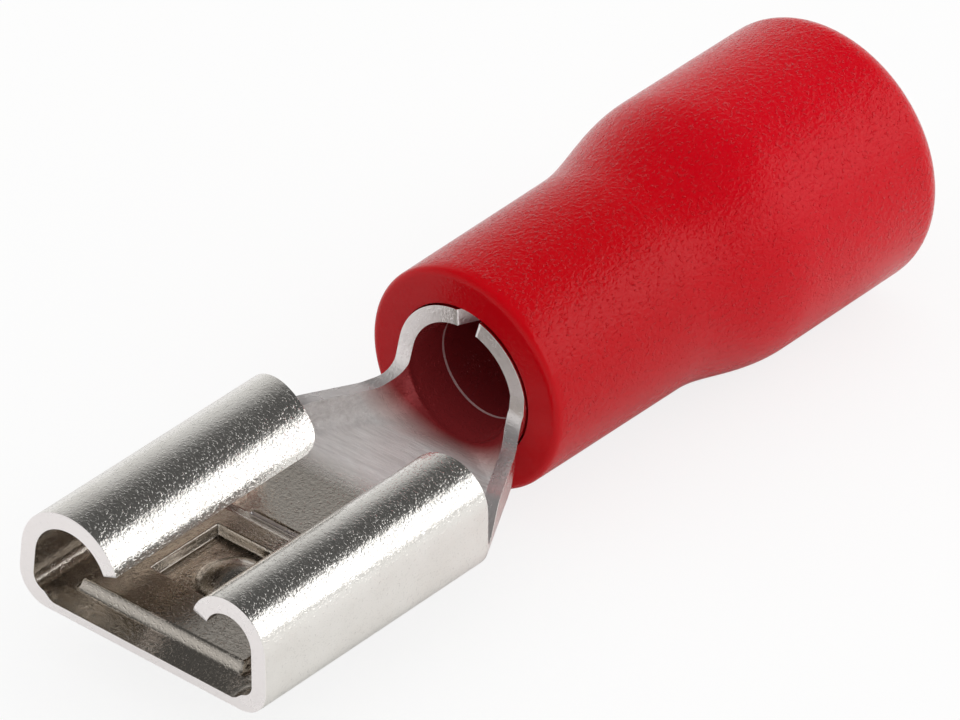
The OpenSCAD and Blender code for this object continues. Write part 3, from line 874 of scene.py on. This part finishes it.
# %% Make the tin plate
def make_tin():
    """Bright tin plate, with worn and scored places, and painted shade, reflections and highlights."""
    material, tree = new_material("tinned_brass")
    place = tree.nodes.new("ShaderNodeTexCoord").outputs["Object"]
    place_xyz = add_node(tree, "ShaderNodeSeparateXYZ", {"Vector": place})
    along = place_xyz.outputs["Y"]
    inner = add_node(tree, "ShaderNodeAttribute", attribute_name="inner_face").outputs["Fac"]
    cut = add_node(tree, "ShaderNodeAttribute", attribute_name="cut_face").outputs["Fac"]
    inner = math_node(tree, "MULTIPLY", inner, math_node(tree, "SUBTRACT", 1, cut))

    # Where the tin differs: the bell's painted red reflection and shade start further forward on the walls
    # than on the floor
    depth = math_node(tree, "MULTIPLY_ADD", place_xyz.outputs["Z"], 0.35, along)
    bell_painted_reflection = math_node(tree, "MULTIPLY", inner, ranged(tree, depth, 8.5 * MM, 9.2 * MM))
    neck = math_node(tree, "MULTIPLY", inner, ranged(tree, along, 6.4 * MM, 7.3 * MM))
    neck = math_node(tree, "SUBTRACT", neck, bell_painted_reflection)
    # Painted highlight: a thin pinkish-white line along the crease at the bell's end
    crease_painted_highlight = math_node(tree, "COMPARE", along, BELL_END * MM, 0.026 * MM)
    crease_painted_highlight = math_node(tree, "MULTIPLY", crease_painted_highlight, bell_painted_reflection)

    # Relief: small lumps and pits all over, drawn lines along the strip, scratches in the neck
    lumps = noise(tree, place, 0.09, 2, 0.6)
    pits = ranged(tree, noise(tree, place, 0.055, 1), 0.58, 0.70)
    lines = noise(tree, stretched(tree, place, (1.0, 0.06, 1.0)), 0.09, 2, 0.6)
    patches = noise(tree, place, 1.1, 3, 0.6)
    scratches = noise(tree, stretched(tree, place, (0.12, 1.0, 1.0)), 0.1, 3, 0.7)
    scratches = math_node(tree, "MULTIPLY", scratches, neck)
    normal = bumped(tree, lumps, 0.007)
    normal = bumped(tree, pits, 0.004, normal)
    normal = bumped(tree, lines, 0.0016, normal)
    normal = bumped(tree, scratches, 0.035, normal)

    # Colour, metal share and gloss: plain plate, then the inner face with painted shade, the neck, the bell
    # with its painted red reflection and shade, the crease's painted highlight, and the cuts with a painted
    # pinkish highlight
    worn = ranged(tree, patches, 0.35, 0.7)
    colour = blended(tree, worn, (0.85, 0.83, 0.795, 1), (0.80, 0.775, 0.735, 1))
    # Painted shade: the inner face is painted darker and browner than the outer face
    colour = blended(tree, inner, colour, (0.66, 0.61, 0.55, 1))
    scored = ranged(tree, scratches, 0.3, 0.75)
    colour = blended(tree, neck, colour, (0.97, 0.945, 0.935, 1))
    colour = blended(tree, math_node(tree, "MULTIPLY", scored, 0.5), colour, (0.45, 0.42, 0.41, 1))
    # Painted reflection and shade: dark red inside the bell, where the sleeve surrounds it
    colour = blended(tree, bell_painted_reflection, colour, (0.36, 0.035, 0.04, 1))
    # Painted highlight: the bell's crease is painted a bright pinkish white
    colour = blended(tree, crease_painted_highlight, colour, (0.95, 0.70, 0.70, 1))
    # Painted highlight and painted reflection: the cut edges are painted brighter and pinkish, like the red
    # sleeve's reflection
    colour = blended(tree, cut, colour, (0.93, 0.885, 0.88, 1))
    metal = math_node(tree, "SUBTRACT", 1, math_node(tree, "MULTIPLY", neck, 0.65))
    metal = math_node(tree, "SUBTRACT", metal, math_node(tree, "MULTIPLY", bell_painted_reflection, 0.6))
    metal = math_node(tree, "SUBTRACT", metal, math_node(tree, "MULTIPLY", cut, 0.15))
    gloss = ranged(tree, patches, 0.3, 0.7, 0.13, 0.2)
    gloss = math_node(tree, "ADD", gloss, math_node(tree, "MULTIPLY", neck, 0.18))
    gloss = math_node(tree, "ADD", gloss, math_node(tree, "MULTIPLY", cut, 0.12))
    shader = add_node(tree, "ShaderNodeBsdfPrincipled", {
        "Base Color": colour, "Metallic": metal, "Roughness": gloss, "Normal": normal})
    output = tree.nodes.new("ShaderNodeOutputMaterial")
    tree.links.new(shader.outputs[0], output.inputs["Surface"])
    return material


tinned_brass = make_tin()
terminal_mesh.materials.append(tinned_brass)
print("Finish:", tinned_brass.name, "with", len(tinned_brass.node_tree.nodes), "nodes")

# %% [markdown]
# ## Floor
# A pale, matt floor lies under the sleeve's rear, which is the lowest part. It shows nearly white to
# the lens and keeps the object's shadow. A stronger lamp would whiten it too, but it would also
# bleach the object. A share of plain white, seen by the lens alone, leaves the object's light alone.

# %% Lay the floor
FLOOR_Z = CAD_BOX[0][2]
WHITE_SHARE = 0.82
floor_mesh = bpy.data.meshes.new("floor")
FLOOR_REACH = 0.6
corners = [(x * FLOOR_REACH, y * FLOOR_REACH, FLOOR_Z) for x, y in ((-1, -1), (1, -1), (1, 1), (-1, 1))]
floor_mesh.from_pydata(corners, [], [(0, 1, 2, 3)])
floor = bpy.data.objects.new("floor", floor_mesh)
bpy.context.scene.collection.objects.link(floor)
pale, tree = new_material("pale_floor")
rays = tree.nodes.new("ShaderNodeLightPath").outputs
matt = add_node(tree, "ShaderNodeBsdfDiffuse", {"Color": (0.93, 0.93, 0.925, 1)})
white = add_node(tree, "ShaderNodeEmission", {"Color": (1, 1, 1, 1), "Strength": 1.0})
seen = math_node(tree, "MAXIMUM", rays["Is Camera Ray"], rays["Is Transmission Ray"])
share = math_node(tree, "MULTIPLY", seen, WHITE_SHARE)
blend = add_node(tree, "ShaderNodeMixShader", {0: share, 1: matt.outputs[0], 2: white.outputs[0]})
add_node(tree, "ShaderNodeOutputMaterial", {"Surface": blend.outputs[0]})
floor_mesh.materials.append(pale)
print("The floor lies at", round(FLOOR_Z / MM, 2), "mm")

# %% [markdown]
# ## Light
# A large soft box stands behind the object on the right, and the room is pale near the floor and
# dark overhead. Bright metal shows mostly what stands round it, so this room makes the bands on the
# curls: grey from the walls, dark from the ceiling, and white from the soft box.
# Such a dark ceiling leaves the red plastic dull. A wide, even light from above makes up for it,
# and it is kept out of reflections, so that the metal goes on showing the dark ceiling.

# %% Light the scene
world = bpy.data.worlds.new("pale room")
bpy.context.scene.world = world
world.use_nodes = True
tree = world.node_tree
tree.nodes.clear()
direction = tree.nodes.new("ShaderNodeTexCoord").outputs["Generated"]
up = add_node(tree, "ShaderNodeSeparateXYZ", {"Vector": direction}).outputs["Z"]
ramp = add_node(tree, "ShaderNodeValToRGB", {"Fac": up})
# Brightness of the room, from level (and all that lies below it) to straight up
stops = [(0.0, 0.78), (0.3, 0.66), (0.46, 0.50), (0.58, 0.33), (0.72, 0.10), (1.0, 0.06)]
while len(ramp.color_ramp.elements) < len(stops):
    ramp.color_ramp.elements.new(0.5)
for element, (place, level) in zip(ramp.color_ramp.elements, stops):
    element.position = place
    element.color = (level, level * 0.995, level * 0.98, 1)
rays = tree.nodes.new("ShaderNodeLightPath").outputs
room = add_node(tree, "ShaderNodeBackground", {"Color": ramp.outputs["Color"], "Strength": 1.0})
clear = add_node(tree, "ShaderNodeBackground", {"Color": (1, 1, 1, 1), "Strength": 1.0})
seen = math_node(tree, "MAXIMUM", rays["Is Camera Ray"], rays["Is Transmission Ray"])
blend = add_node(tree, "ShaderNodeMixShader", {0: seen, 1: room.outputs[0], 2: clear.outputs[0]})
add_node(tree, "ShaderNodeOutputWorld", {"Surface": blend.outputs[0]})


def soft_box(name, direction, distance, width, height, brightness):
    """An area light that faces the object. Brightness 1 looks as bright as white paper."""
    data = bpy.data.lights.new(name, "AREA")
    data.shape = "RECTANGLE"
    data.size, data.size_y = width, height
    data.energy = brightness * math.pi * width * height
    lamp = bpy.data.objects.new(name, data)
    bpy.context.scene.collection.objects.link(lamp)
    aim = Vector(direction).normalized()
    lamp.location = VIEW_TARGET + aim * distance
    lamp.rotation_euler = aim.to_track_quat("Z", "Y").to_euler()


soft_box("soft box", direction=(0.66, 0.60, 0.44), distance=0.25, width=0.26, height=0.16, brightness=1.3)
fill_data = bpy.data.lights.new("overhead fill", "SUN")
fill_data.energy = 1.95
fill_data.angle = math.radians(110)
fill = bpy.data.objects.new("overhead fill", fill_data)
bpy.context.scene.collection.objects.link(fill)
fill.visible_glossy = False

# %% [markdown]
# ## Hand the pieces to the model
# Each dressed piece stands for its construction node, which is hidden, and rides on the only body.
# Its finish was made above under the same name as its slot.

# %% Attach the pieces
for piece, node, slot in ((terminal, "terminal", "tinned_brass"), (sleeve, "sleeve", "red_pvc")):
    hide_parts(node)
    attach(piece, "root")
bpy.context.scene.view_settings.view_transform = "Standard"
